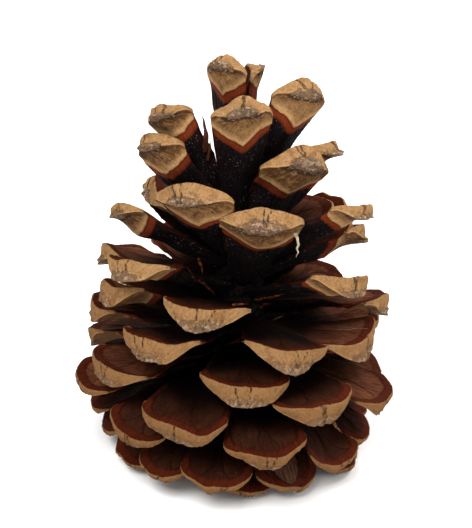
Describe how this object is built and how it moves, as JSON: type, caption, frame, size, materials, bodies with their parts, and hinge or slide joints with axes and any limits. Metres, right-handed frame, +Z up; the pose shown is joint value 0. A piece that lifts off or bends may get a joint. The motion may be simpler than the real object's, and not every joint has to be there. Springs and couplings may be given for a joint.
{
  "type": "austrian pine cone",
  "caption": "Dry, fully opened cone of an Austrian pine, standing on its lowest scales: woody scales with thickened tan ends in spirals round a short axis, and a loose winged seed between them.",
  "frame": {"origin": "on the ground under the middle of the cone's overall box", "axes": "+Z up along the axis of the cone, from the broken stalk to the tip; -Y faces the side shown first"},
  "size_m": [0.0564, 0.0584, 0.0742],
  "materials": {
    "scale_wood": "matte",
    "seed_wing": "satin"
  },
  "bodies": {
    "root": {"pine_cone": "scale_wood", "winged_seed": "seed_wing"}
  },
  "joints": []
}
